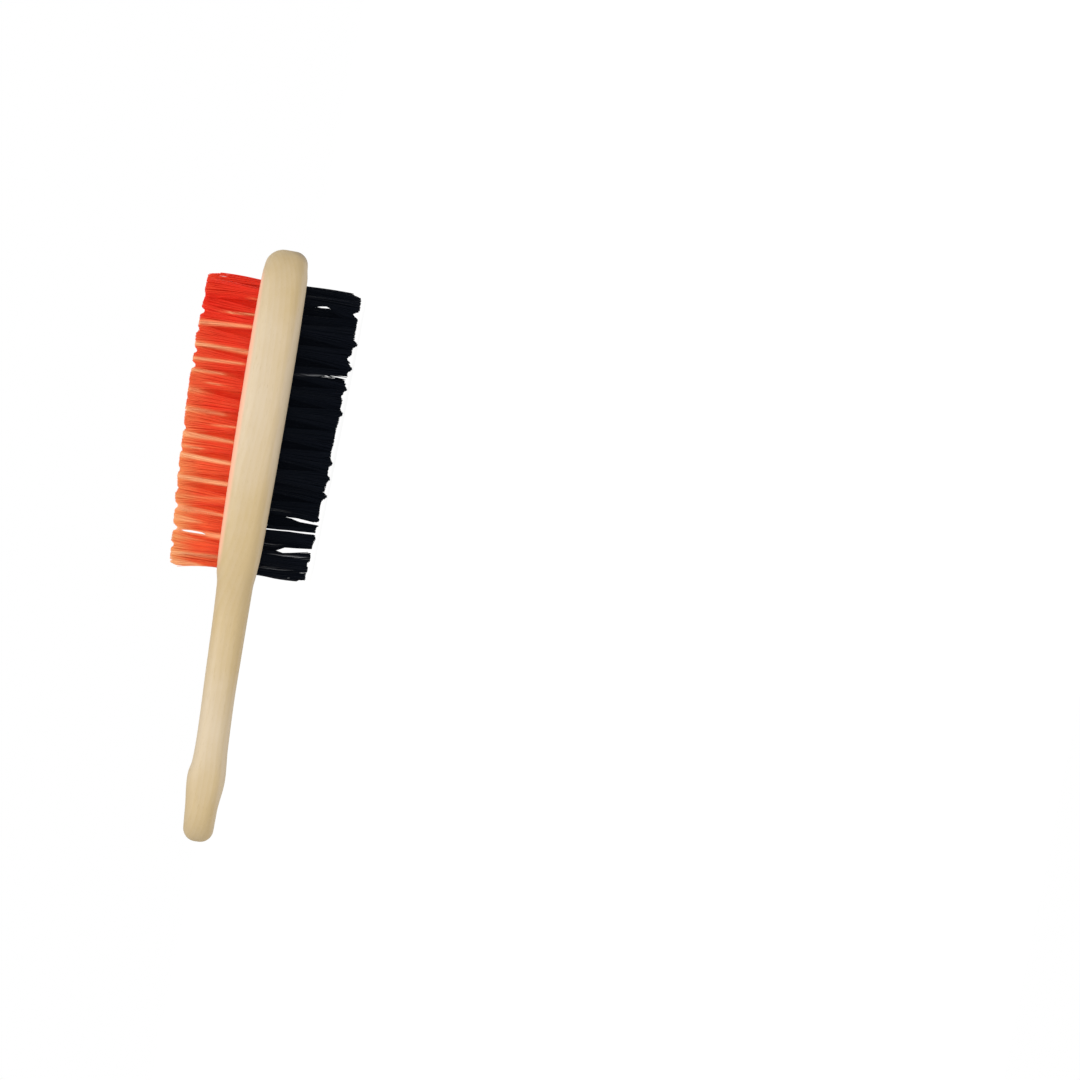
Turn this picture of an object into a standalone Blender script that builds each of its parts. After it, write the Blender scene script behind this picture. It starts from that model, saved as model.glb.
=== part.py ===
"""Double-sided brush.

One wooden board makes the handle and the head. Each flat face of the head carries lengthwise rows
of tufts, orange-red above and black below. A row is a strip of the head's face, seated in a
milled groove, with its tufts rising from it. Each tuft leaves its hole as one bundle and opens
into four strands. The brush stands on its black tips, which are cut off in one plane.

The board is drawn straight, along X from the end of the handle, with its line at Z = 0. Then the
whole brush is tipped, because the black strands are longer towards the toe than at the heel.
"""

import math
import random

import bmesh
import bpy
import numpy as np
from mathutils import Matrix, Vector
from mathutils.geometry import delaunay_2d_cdt

# Board, along its length
HANDLE_LENGTH = 0.111  # end of the handle to the heel, where the flat faces start
FACE_LENGTH = 0.1215  # heel to toe, the flat faces that hold the tufts
NOSE_LENGTH = 0.0125  # toe to the end of the head
HANDLE_END_LENGTH = 0.014  # the half ellipse that closes the handle
HEAD_OVERLAP = 0.021  # how far the oval of the head reaches back into the handle
SHOULDER_LENGTH = 0.0050  # step from the neck out to the flat faces

# Board, seen from above: full widths
HANDLE_END_WIDTH = 0.0232
SWELL_WIDTH = 0.0266
WAIST_WIDTH = 0.0214
NECK_WIDTH = 0.0235
HEAD_WIDTH = 0.052

# Board, seen from the side: heights above its line and depths below it
HANDLE_END_HEIGHT = 0.0056
HANDLE_END_DEPTH = 0.0065
SWELL_HEIGHT = 0.0072
SWELL_DEPTH = 0.0080
WAIST_HEIGHT = 0.0061
WAIST_DEPTH = 0.0071
NECK_HEIGHT = 0.0071
NECK_DEPTH = 0.0060
SHOULDER_HEIGHT = 0.0085
SHOULDER_DEPTH = 0.0062
HEEL_HEIGHT = 0.0101
HEEL_DEPTH = 0.0075
TOE_HEIGHT = 0.0111
TOE_DEPTH = 0.0079
NOSE_HEIGHT = 0.0098
NOSE_DEPTH = 0.0060

# Rounding of the board's long edges
HANDLE_ROUNDING = 0.0052
HEAD_ROUNDING = 0.0060

# Places along the handle, as shares of its length, and along the faces
SWELL_SHARE = 0.24
WAIST_SHARE = 0.36
NARROWEST_SHARE = 0.44
NECK_SHARE = 0.60
WIDEST_SHARE = 0.62

# Shape of the outline: how far out the head's oval reaches on the diagonals of its box, which
# is 0.71 for an ellipse and 1 for a rectangle, and the power of its blend into the neck
HEEL_CORNER_SHARE = 0.715
TOE_CORNER_SHARE = 0.781
SHOULDER_SHARPNESS = 6

# Fineness of the board's mesh
LONGEST_RUN = 0.0075
SHORTEST_RUN = 0.0018
TURN_DEGREES = 8
SHARP_DEGREES = 30
ROUNDING_STEPS = 5
OUTLINE_SAMPLES = 4000
BISECTIONS = 24
MERGE_DISTANCE = 0.000001

# Tufts and the strips that hold them
FEWEST_TUFTS = 3  # a shorter row isn't made
TUFT_WIDTH = 0.0048
STRIP_MARGIN = 0.0004  # wood left beside a tuft in its strip
STRIP_DEPTH = 0.0030
SEAT_GAP = 0.0003
RIB_WIDTH = 0.0010  # wood between two grooves
FIELD_RIM = 0.0006  # flat wood outside the last groove
STRIP_END_STEPS = 6

# Steps from one column of tufts to the next, from the toe back to the heel
COLUMN_STEP = 0.00426
WIDE_STEP = 0.0052
GAP_STEP = 0.0070
HEEL_STEP = 0.0035

# Strands
STRANDS_PER_TUFT = 4
SIDES_PER_STRAND = 2  # sides of the tuft's mouth that each strand takes
STRAND_SPLIT = 0.0006  # how far a strand's tip moves out from the tuft's middle
TUFT_CLEARANCE = 0.0007  # least room between the tips of two tufts
TUFT_LEAN = 0.0003
ORANGE_HEEL_LENGTH = 0.0189
ORANGE_TOE_LENGTH = 0.0221
ORANGE_CROWN = 0.0016  # rise of the orange tips above a straight line
ORANGE_UNEVENNESS = 0.0011
BLACK_HEEL_LENGTH = 0.0218
BLACK_TOE_LENGTH = 0.02515
BLACK_UNEVENNESS = 0.0038
UNEVENNESS_POWER = 2  # the higher, the fewer strands fall far short
TRIM_DEPTH = 0.0005  # cut off the longest black strands, to stand on
SEED = 11

CUT_OVERRUN = 0.0010

# Colour, roughness and metallic value of each material
WOOD = ((0.72, 0.58, 0.37, 1.0), 0.50, 0.0)
ORANGE = ((0.76, 0.045, 0.016, 1.0), 0.42, 0.0)
BLACK = ((0.006, 0.008, 0.012, 1.0), 0.45, 0.0)

HEEL = HANDLE_LENGTH
TOE = HEEL + FACE_LENGTH
BOARD_LENGTH = TOE + NOSE_LENGTH
WIDEST = HEEL + WIDEST_SHARE * FACE_LENGTH
NECK = NECK_SHARE * HANDLE_LENGTH

TUFT_RADIUS = TUFT_WIDTH / 2
STRIP_RADIUS = TUFT_RADIUS + STRIP_MARGIN
GROOVE_RADIUS = STRIP_RADIUS + SEAT_GAP
ROW_PITCH = 2 * GROOVE_RADIUS + RIB_WIDTH

ELLIPSE_SHARE = math.sqrt(1 / 2)
ABOVE, BELOW = 1, -1
INSIDE_ONLY = 1  # the triangulation leaves out what lies outside every loop


def clear_scene():
    for obj in list(bpy.data.objects):
        bpy.data.objects.remove(obj, do_unlink=True)


def material(name, finish):
    colour, roughness, metallic = finish
    made = bpy.data.materials.new(name)
    made.use_nodes = True
    shader = made.node_tree.nodes["Principled BSDF"]
    shader.inputs["Base Color"].default_value = colour
    shader.inputs["Roughness"].default_value = roughness
    shader.inputs["Metallic"].default_value = metallic
    return made


def smooth_step(x, start, end):
    t = min(max((x - start) / (end - start), 0), 1)
    return t * t * (3 - 2 * t)


def between(x, start, end, first, last):
    """The value on the straight line from first at start to last at end."""
    return first + (last - first) * (x - start) / (end - start)


def smooth_through(sizes, x):
    """A curve through sizes, each with its place, that never swings past one of them."""
    places, values = zip(*sizes)
    x = min(max(x, places[0]), places[-1])
    rises = [
        (values[i + 1] - values[i]) / (places[i + 1] - places[i]) for i in range(len(places) - 1)
    ]
    slopes = [0] * len(places)
    for i in range(1, len(rises)):
        if rises[i - 1] * rises[i] > 0:
            slopes[i] = 2 * rises[i - 1] * rises[i] / (rises[i - 1] + rises[i])
    i = max(j for j in range(len(rises)) if places[j] <= x)
    run = places[i + 1] - places[i]
    t = (x - places[i]) / run
    rest = 1 - t
    return (
        values[i] * (1 + 2 * t) * rest * rest
        + values[i + 1] * (1 + 2 * rest) * t * t
        + (slopes[i] * rest - slopes[i + 1] * t) * run * t * rest
    )


def oval(share, corner_share):
    """Half width of a rounded oval, as a share, at a share of its length from the middle."""
    power = math.log(1 / 2) / math.log(corner_share)
    return max(1 - min(abs(share), 1) ** power, 0) ** (1 / power)


def half_width(x):
    """Half of the board's width: a swelling handle blended into the oval of the head."""
    sizes = (
        (0, HANDLE_END_WIDTH),
        (SWELL_SHARE * HANDLE_LENGTH, SWELL_WIDTH),
        (NARROWEST_SHARE * HANDLE_LENGTH, WAIST_WIDTH),
        (HANDLE_LENGTH, NECK_WIDTH),
    )
    handle = smooth_through(sizes, x) / 2
    if x < HANDLE_END_LENGTH:
        handle *= oval(1 - x / HANDLE_END_LENGTH, ELLIPSE_SHARE)
    handle *= 1 - smooth_step(x, HEEL, WIDEST)
    if x < WIDEST:
        head = oval((WIDEST - x) / (WIDEST - HEEL + HEAD_OVERLAP), HEEL_CORNER_SHARE)
    else:
        head = oval((x - WIDEST) / (BOARD_LENGTH - WIDEST), TOE_CORNER_SHARE)
    head *= HEAD_WIDTH / 2
    return (handle**SHOULDER_SHARPNESS + head**SHOULDER_SHARPNESS) ** (1 / SHOULDER_SHARPNESS)


def height(x):
    """Height of the upper face above the board's line. It is straight from heel to toe."""
    if HEEL < x < TOE:
        return between(x, HEEL, TOE, HEEL_HEIGHT, TOE_HEIGHT)
    if x >= TOE:
        return TOE_HEIGHT + (NOSE_HEIGHT - TOE_HEIGHT) * smooth_step(x, TOE, BOARD_LENGTH)
    sizes = (
        (0, HANDLE_END_HEIGHT),
        (SWELL_SHARE * HANDLE_LENGTH, SWELL_HEIGHT),
        (WAIST_SHARE * HANDLE_LENGTH, WAIST_HEIGHT),
        (NECK, NECK_HEIGHT),
        (HEEL - SHOULDER_LENGTH, SHOULDER_HEIGHT),
        (HEEL, HEEL_HEIGHT),
    )
    return smooth_through(sizes, x)


def depth(x):
    """Depth of the lower face below the board's line, straight like the upper one."""
    if HEEL < x < TOE:
        return between(x, HEEL, TOE, HEEL_DEPTH, TOE_DEPTH)
    if x >= TOE:
        return TOE_DEPTH + (NOSE_DEPTH - TOE_DEPTH) * smooth_step(x, TOE, BOARD_LENGTH)
    sizes = (
        (0, HANDLE_END_DEPTH),
        (SWELL_SHARE * HANDLE_LENGTH, SWELL_DEPTH),
        (WAIST_SHARE * HANDLE_LENGTH, WAIST_DEPTH),
        (NECK, NECK_DEPTH),
        (HEEL - SHOULDER_LENGTH, SHOULDER_DEPTH),
        (HEEL, HEEL_DEPTH),
    )
    return smooth_through(sizes, x)


def rounding(x):
    """Radius of the long edges, kept inside the thinnest wood."""
    wanted = HANDLE_ROUNDING + (HEAD_ROUNDING - HANDLE_ROUNDING) * smooth_step(x, NECK, HEEL)
    return min(wanted, height(x), depth(x))


def outline_samples():
    """Rows of place, half width, height and depth along the board, closest at its ends."""
    steps = math.pi * np.arange(OUTLINE_SAMPLES + 1) / OUTLINE_SAMPLES
    places = BOARD_LENGTH * (1 - np.cos(steps)) / 2
    return np.array([(x, half_width(x), height(x), depth(x)) for x in places])


def stations(samples):
    """Places of the board's sections, closer together where its outline or a face bends."""
    turn = math.radians(TURN_DEGREES)
    kept = [samples[0]]
    angles = None
    for last, this in zip(samples, samples[1:]):
        now = np.arctan2(this[1:] - last[1:], this[0] - last[0])
        angles = now if angles is None else angles
        run = np.hypot(*(this - kept[-1])[:2])
        if run > LONGEST_RUN or np.abs(now - angles).max() > turn:
            kept.append(this)
            angles = now
    if np.hypot(*(samples[-1] - kept[-1])[:2]) < SHORTEST_RUN:
        kept.pop()
    return [*(float(sample[0]) for sample in kept), BOARD_LENGTH]


def edge_distance(samples, x, y):
    return float(np.hypot(samples[:, 0] - x, samples[:, 1] - y).min())


def place_inside(samples, x, distance):
    """How far out a point of the section at x lies, at this distance from the board's edge."""
    inner, outer = 0, half_width(x)
    for _ in range(BISECTIONS):
        middle = (inner + outer) / 2
        if edge_distance(samples, x, middle) > distance:
            inner = middle
        else:
            outer = middle
    return outer


def section(samples, x):
    """The board's section at x, as points right round it: flat faces and rounded edges."""
    radius = rounding(x)
    room = min(radius, edge_distance(samples, x, 0))
    edge = []
    for step in range(ROUNDING_STEPS + 1):
        away = room * (1 - math.cos(math.pi / 2 * step / ROUNDING_STEPS))
        out = place_inside(samples, x, away) if step else half_width(x)
        edge.append((out, radius - math.sqrt(radius**2 - (radius - away) ** 2)))
    lower = [(out, drop - depth(x)) for out, drop in reversed(edge)]
    upper = [(out, height(x) - drop) for out, drop in edge]
    return [*lower, *upper, *((-out, rise) for out, rise in reversed(lower + upper))]


def board_mesh(samples):
    """The board, lofted through its sections. At both ends a section shrinks to an upright line."""
    mesh = bmesh.new()
    rings = [
        [mesh.verts.new((x, y, z)) for y, z in section(samples, x)] for x in stations(samples)
    ]
    for ring, after in zip(rings, rings[1:]):
        for i in range(len(ring)):
            mesh.faces.new((ring[i - 1], ring[i], after[i], after[i - 1]))
    bmesh.ops.remove_doubles(mesh, verts=mesh.verts, dist=MERGE_DISTANCE)
    bmesh.ops.recalc_face_normals(mesh, faces=mesh.faces)
    return mesh


def columns():
    """Places of the tufts along the face, from the toe back, closer set but for the heel."""
    room = FACE_LENGTH - 2 * (GROOVE_RADIUS + FIELD_RIM)
    heel_steps = (WIDE_STEP, WIDE_STEP, GAP_STEP, HEEL_STEP, HEEL_STEP)
    regular = int((room - sum(heel_steps)) / COLUMN_STEP)
    places = [TOE - FIELD_RIM - GROOVE_RADIUS]
    for step in (*[COLUMN_STEP] * regular, *heel_steps):
        places.append(places[-1] - step)
    return places


def tuft_rows(samples):
    """Where the tufts stand, row by row across the face. Rows alternate, keep to the flat of
    the face, and are as many as it has room for."""
    reach = HEAD_ROUNDING + FIELD_RIM + GROOVE_RADIUS
    outermost = int(HEAD_WIDTH / 2 / ROW_PITCH)
    rows = []
    for row in range(-outermost, outermost + 1):
        y = row * ROW_PITCH
        places = [
            Vector((x, y))
            for x in columns()[abs(row) % 2 :: 2]
            if edge_distance(samples, x, abs(y)) > reach
        ]
        if len(places) >= FEWEST_TUFTS:
            rows.append(places)
    return rows


def face_rise(side, x):
    """Distance of a flat face from the board's line, from the heel and toe sizes."""
    if side == ABOVE:
        return between(x, HEEL, TOE, HEEL_HEIGHT, TOE_HEIGHT)
    return between(x, HEEL, TOE, HEEL_DEPTH, TOE_DEPTH)


def tip_rise(side, x):
    """Distance of the trimmed tips from the board's line."""
    if side == BELOW:
        return face_rise(side, x) + between(x, HEEL, TOE, BLACK_HEEL_LENGTH, BLACK_TOE_LENGTH)
    share = (x - HEEL) / FACE_LENGTH
    straight = between(x, HEEL, TOE, ORANGE_HEEL_LENGTH, ORANGE_TOE_LENGTH)
    return face_rise(side, x) + straight + 4 * ORANGE_CROWN * share * (1 - share)


def capsule(first, last, radius):
    """A slot's outline: two straight sides and two round ends."""
    points = []
    for centre, start in ((last, -math.pi / 2), (first, math.pi / 2)):
        for i in range(STRIP_END_STEPS + 1):
            angle = start + math.pi * i / STRIP_END_STEPS
            points.append(centre + radius * Vector((math.cos(angle), math.sin(angle))))
    return points


def prism(mesh, side, points, top, bottom):
    """Walls and floor of a slot's outline, top and bottom given as depths below the face.

    Returns the upper ring, which is left open."""
    rings = [
        [mesh.verts.new((p.x, p.y, side * (face_rise(side, p.x) - down))) for p in points]
        for down in (top, bottom)
    ]
    for i in range(len(points)):
        j = (i + 1) % len(points)
        mesh.faces.new((rings[0][i], rings[0][j], rings[1][j], rings[1][i]))
    mesh.faces.new(rings[1])
    return rings[0]


def groove_cutter(name, side, places):
    mesh = bmesh.new()
    points = capsule(places[-1], places[0], GROOVE_RADIUS)
    mesh.faces.new(prism(mesh, side, points, -CUT_OVERRUN, STRIP_DEPTH + SEAT_GAP))
    bmesh.ops.recalc_face_normals(mesh, faces=mesh.faces)
    cutter = to_object(name, mesh, [])
    cutter.hide_render = True
    cutter.display_type = "WIRE"
    return cutter


def tip_spread():
    """Growth of a tuft from its hole to its tips that leaves the clearance to its neighbours."""
    step = min(COLUMN_STEP, WIDE_STEP, GAP_STEP, HEEL_STEP)
    nearest = min(2 * step, math.hypot(step, ROW_PITCH))
    radius = (nearest - TUFT_CLEARANCE) / 2
    return (radius - TUFT_LEAN - STRAND_SPLIT) / TUFT_RADIUS


def strand_rise(side, x, fall):
    """Tip of a strand that falls short by a length. Black ones are cut off in one plane."""
    if side == BELOW:
        fall = max(fall - TRIM_DEPTH, 0)
    return tip_rise(side, x) - fall


def grow_tuft(mesh, side, centre, chance):
    """One tuft: a ring at the mouth of its hole, split into strands of four sides.

    Returns the ring."""
    sides = SIDES_PER_STRAND * STRANDS_PER_TUFT
    phase = chance.uniform(0, math.pi)
    around = [phase + 2 * math.pi * i / sides for i in range(sides)]
    ring = [centre + TUFT_RADIUS * Vector((math.cos(a), math.sin(a))) for a in around]
    mouth = [mesh.verts.new((p.x, p.y, side * face_rise(side, p.x))) for p in ring]
    heart = mesh.verts.new((centre.x, centre.y, side * face_rise(side, centre.x)))
    lean_angle = chance.uniform(0, 2 * math.pi)
    lean = chance.uniform(0, TUFT_LEAN) * Vector((math.cos(lean_angle), math.sin(lean_angle)))
    unevenness = ORANGE_UNEVENNESS if side == ABOVE else BLACK_UNEVENNESS
    for strand in range(STRANDS_PER_TUFT):
        first = SIDES_PER_STRAND * strand
        corners = range(first, first + SIDES_PER_STRAND + 1)
        base = [heart] + [mouth[i % sides] for i in corners]
        foot = [centre] + [ring[i % sides] for i in corners]
        middle = phase + math.pi * (2 * strand + 1) / STRANDS_PER_TUFT
        shift = lean + STRAND_SPLIT * Vector((math.cos(middle), math.sin(middle)))
        fall = unevenness * chance.random() ** UNEVENNESS_POWER
        tips = []
        for point in foot:
            tip = centre + tip_spread() * (point - centre) + shift
            tips.append(mesh.verts.new((tip.x, tip.y, side * strand_rise(side, tip.x, fall))))
        for i in range(len(base)):
            j = (i + 1) % len(base)
            mesh.faces.new((base[i], base[j], tips[j], tips[i]))
        mesh.faces.new(tips)
    return mouth


def fill_face(mesh, outline, mouths):
    """The strip's face, as triangles between its outline and the mouths of its tufts.

    A triangle whose corners all lie on one mouth is under that tuft, and is left out."""
    rings = [outline, *mouths]
    corners = [(vertex, number) for number, ring in enumerate(rings) for vertex in ring]
    edges = []
    for ring in rings:
        first = len(edges)
        edges += [(first + i, first + (i + 1) % len(ring)) for i in range(len(ring))]
    points = [vertex.co.xy for vertex, _ in corners]
    found = delaunay_2d_cdt(points, edges, [], INSIDE_ONLY, MERGE_DISTANCE)
    triangles, sources = found[2], found[3]
    faces = []
    for triangle in triangles:
        picked = [corners[sources[i][0]] for i in triangle]
        numbers = {number for _, number in picked}
        if numbers == {0} or len(numbers) > 1:
            faces.append(mesh.faces.new([vertex for vertex, _ in picked]))
    return faces


def tuft_row(name, side, places, chance, materials):
    """A strip of the head's face with the tufts of one row."""
    mesh = bmesh.new()
    outline = prism(mesh, side, capsule(places[-1], places[0], STRIP_RADIUS), 0, STRIP_DEPTH)
    strip_faces = list(mesh.faces)
    mouths = [grow_tuft(mesh, side, place, chance) for place in places]
    strip_faces += fill_face(mesh, outline, mouths)
    for face in strip_faces:
        face.material_index = 1
    bmesh.ops.recalc_face_normals(mesh, faces=mesh.faces)
    return to_object(name, mesh, materials)


def to_object(name, mesh, materials):
    data = bpy.data.meshes.new(name)
    mesh.to_mesh(data)
    mesh.free()
    for item in materials:
        data.materials.append(item)
    obj = bpy.data.objects.new(name, data)
    bpy.context.collection.objects.link(obj)
    return obj


def cut(obj, cutter):
    modifier = obj.modifiers.new(cutter.name, "BOOLEAN")
    modifier.operation = "DIFFERENCE"
    modifier.solver = "EXACT"
    modifier.object = cutter


def stand_up(body, pieces):
    """Tips the brush about Y onto its black tips, with the origin under its middle."""
    slope = (tip_rise(BELOW, TOE) - tip_rise(BELOW, HEEL)) / FACE_LENGTH
    turn = Matrix.Rotation(-math.atan(slope), 4, "Y")
    along = [(turn @ vertex.co).x for vertex in body.data.vertices]
    foot = turn @ Vector((HEEL, 0, -tip_rise(BELOW, HEEL)))
    stand = bpy.data.objects.new("stand", None)
    bpy.context.collection.objects.link(stand)
    stand.rotation_euler = turn.to_euler()
    stand.location = (-(min(along) + max(along)) / 2, 0, -foot.z)
    for piece in pieces:
        piece.parent = stand


def main():
    clear_scene()
    wood = material("pale_wood", WOOD)
    samples = outline_samples()
    body = to_object("wood_body", board_mesh(samples), [wood])
    pieces = [body]
    strands = 0
    for side, colour, finish in ((ABOVE, "orange", ORANGE), (BELOW, "black", BLACK)):
        bristle = material(f"{colour}_bristle", finish)
        chance = random.Random(SEED + side)
        for row, places in enumerate(tuft_rows(samples), 1):
            strands += STRANDS_PER_TUFT * len(places)
            name = f"{colour}_tuft_row_{row}"
            cutter = groove_cutter(f"{name}_groove", side, places)
            cut(body, cutter)
            pieces += [cutter, tuft_row(name, side, places, chance, [bristle, wood])]
            print(name, len(places), "tufts")
    body.data.shade_smooth()
    body.data.set_sharp_from_angle(angle=math.radians(SHARP_DEGREES))
    stand_up(body, pieces)
    print(strands, "strands")


main()
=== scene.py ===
# %% [markdown]
# # A brush with bristles on both faces
#
# The object is a wooden hand brush. One board is shaped to a handle and an oval head. Tufts of
# orange-red bristles stand on one face of the head and black ones on the other. The construction
# has been made to size already, and it stays as it is. This script dresses it: it makes the
# finished wood and every single bristle, lights them, and sets up the camera for the picture.
#
# The first cell loads the construction and keeps its outer box, which places the camera and the
# lamps.

# %% Load the construction
import math
import random
from collections import namedtuple

import bpy
import numpy as np
from mathutils import Matrix, Vector


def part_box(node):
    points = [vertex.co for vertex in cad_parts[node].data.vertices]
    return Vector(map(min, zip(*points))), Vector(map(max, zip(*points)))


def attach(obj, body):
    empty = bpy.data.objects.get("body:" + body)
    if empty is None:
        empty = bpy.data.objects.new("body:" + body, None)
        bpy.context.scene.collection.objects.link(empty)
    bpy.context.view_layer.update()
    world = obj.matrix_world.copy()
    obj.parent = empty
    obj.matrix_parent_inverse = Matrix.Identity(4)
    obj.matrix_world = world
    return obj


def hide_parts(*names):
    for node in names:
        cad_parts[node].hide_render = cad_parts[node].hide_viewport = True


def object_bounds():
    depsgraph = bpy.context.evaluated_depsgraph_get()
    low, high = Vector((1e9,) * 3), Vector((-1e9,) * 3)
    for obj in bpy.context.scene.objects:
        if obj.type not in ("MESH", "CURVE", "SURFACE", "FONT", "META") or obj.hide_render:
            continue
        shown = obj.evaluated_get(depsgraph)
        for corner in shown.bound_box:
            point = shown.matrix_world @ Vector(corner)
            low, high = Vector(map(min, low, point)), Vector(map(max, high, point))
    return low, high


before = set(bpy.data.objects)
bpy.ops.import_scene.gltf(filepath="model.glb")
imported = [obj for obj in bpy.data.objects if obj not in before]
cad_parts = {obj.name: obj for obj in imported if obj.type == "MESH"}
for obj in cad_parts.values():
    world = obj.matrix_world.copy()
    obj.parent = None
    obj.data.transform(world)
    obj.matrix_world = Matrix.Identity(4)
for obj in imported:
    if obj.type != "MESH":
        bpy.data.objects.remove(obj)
cad_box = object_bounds()
print("construction:", len(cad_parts), "nodes, box", [round(v, 4) for c in cad_box for v in c])

# %% [markdown]
# ## The camera
#
# The photograph shows the brush from the side, with its handle down and its head a little to the
# right. So the camera looks level along +Y, and is rolled. It could stand close by, but the long
# sides of the board look parallel, so it stands a metre away with a long lens. The brush fills
# only the left part of the picture: the camera stands straight in front of it and is turned to
# the right.

# %% Place the camera
PHOTO_SIDE = 1080  # pixels
PIXELS_PER_METRE = 2439
BRUSH_PLACE = (236.0, 544.3)  # where the middle of the brush lies in the photograph
TIPS_LEAN = math.radians(11.1)  # of the plane of the black tips, clockwise from upright
LENS = 85.0  # mm
SENSOR = 36.0  # mm

picture_up = Vector((math.cos(TIPS_LEAN), 0, math.sin(TIPS_LEAN)))
picture_right = Vector((math.sin(TIPS_LEAN), 0, -math.cos(TIPS_LEAN)))
lens_pixels = LENS / SENSOR * PHOTO_SIDE
turn_right = math.atan((PHOTO_SIDE / 2 - BRUSH_PLACE[0]) / lens_pixels)
distance = lens_pixels / PIXELS_PER_METRE / math.cos(turn_right)
middle = (cad_box[0] + cad_box[1]) / 2

ahead = Vector((0, math.cos(turn_right), 0)) + math.sin(turn_right) * picture_right
right = picture_up.cross(-ahead)
eye = middle - distance * Vector((0, 1, 0))
eye += (BRUSH_PLACE[1] - PHOTO_SIDE / 2) / PIXELS_PER_METRE * picture_up

camera = bpy.data.objects.new("camera", bpy.data.cameras.new("camera"))
bpy.context.collection.objects.link(camera)
camera.data.lens = LENS
camera.data.sensor_width = SENSOR
turned = Matrix((right, picture_up, -ahead)).transposed().to_4x4()
camera.matrix_world = Matrix.Translation(eye) @ turned
bpy.context.scene.camera = camera
print("camera", round(distance, 3), "m away, turned", round(math.degrees(turn_right), 2), "degrees")

# %% [markdown]
# ## Sums with nodes
#
# Geometry and materials are both made with node trees. A sum in a tree takes one Math node for
# each operator, which is slow to read when every node is linked by hand. The class Signal wraps
# a socket, so that a sum is written as a Python expression. The class Tree has the one method
# that adds any node: it takes the node's type, its settings, and what goes into its sockets.

# %% Helpers for node trees
class Signal:
    """A node's output. Operators on it add Math nodes, and [] picks another output."""

    def __init__(self, tree, node, output=0):
        self.tree = tree
        self.node = node
        self.socket = node.outputs[output]

    def __getitem__(self, output):
        return Signal(self.tree, self.node, output)

    def math(self, operation, *values):
        return self.tree.add("ShaderNodeMath", {"operation": operation}, values)

    def __add__(self, other):
        return self.math("ADD", self, other)

    def __radd__(self, other):
        return self.math("ADD", other, self)

    def __sub__(self, other):
        return self.math("SUBTRACT", self, other)

    def __rsub__(self, other):
        return self.math("SUBTRACT", other, self)

    def __mul__(self, other):
        return self.math("MULTIPLY", self, other)

    def __truediv__(self, other):
        return self.math("DIVIDE", self, other)

    def __pow__(self, other):
        return self.math("POWER", self, other)

    def __neg__(self):
        return self.math("MULTIPLY", self, -1.0)

    def __gt__(self, other):
        return self.math("GREATER_THAN", self, other)

    def least(self, other):
        return self.math("MINIMUM", self, other)

    def most(self, other):
        return self.math("MAXIMUM", self, other)

    def of(self, function):
        """SINE, COSINE, SQRT, ABSOLUTE, SIGN or another function of one number."""
        return self.math(function, self)


class Tree:
    """A node tree and the one way to add a node to it."""

    def __init__(self, data):
        self.data = data

    def add(self, kind, settings=None, sockets=(), output=0):
        """Adds a node, its settings first. Sockets are a list, or a dict by name or number."""
        node = self.data.nodes.new(kind)
        for name, value in (settings or {}).items():
            if name == "points":
                self.set_points(node.mapping, value)
            else:
                setattr(node, name, value)
        pairs = sockets.items() if isinstance(sockets, dict) else enumerate(sockets)
        for key, value in pairs:
            if isinstance(value, Signal):
                self.data.links.new(value.socket, node.inputs[key])
            elif value is not None:
                node.inputs[key].default_value = value
        return Signal(self, node, output) if node.outputs else node

    @staticmethod
    def set_points(mapping, points):
        curve = mapping.curves[0].points
        curve[0].location, curve[1].location = points[0], points[-1]
        for place, value in points[1:-1]:
            curve.new(place, value)
        mapping.update()

    def xyz(self, *values):
        return self.add("ShaderNodeCombineXYZ", sockets=values)

    def split(self, vector):
        parts = self.add("ShaderNodeSeparateXYZ", sockets=[vector])
        return parts["X"], parts["Y"], parts["Z"]

    def ramp(self, value, start, end, low=0.0, high=1.0):
        """A smooth step from low at start to high at end."""
        smooth = {"interpolation_type": "SMOOTHSTEP"}
        return self.add("ShaderNodeMapRange", smooth, [value, start, end, low, high])

    def mix(self, share, first, second):
        """A colour between two."""
        sockets = {0: share, 6: first, 7: second}
        return self.add("ShaderNodeMix", {"data_type": "RGBA"}, sockets, output=2)


SOCKETS = {float: "NodeSocketFloat", int: "NodeSocketInt", bpy.types.Object: "NodeSocketObject",
           bpy.types.Material: "NodeSocketMaterial"}


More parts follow.
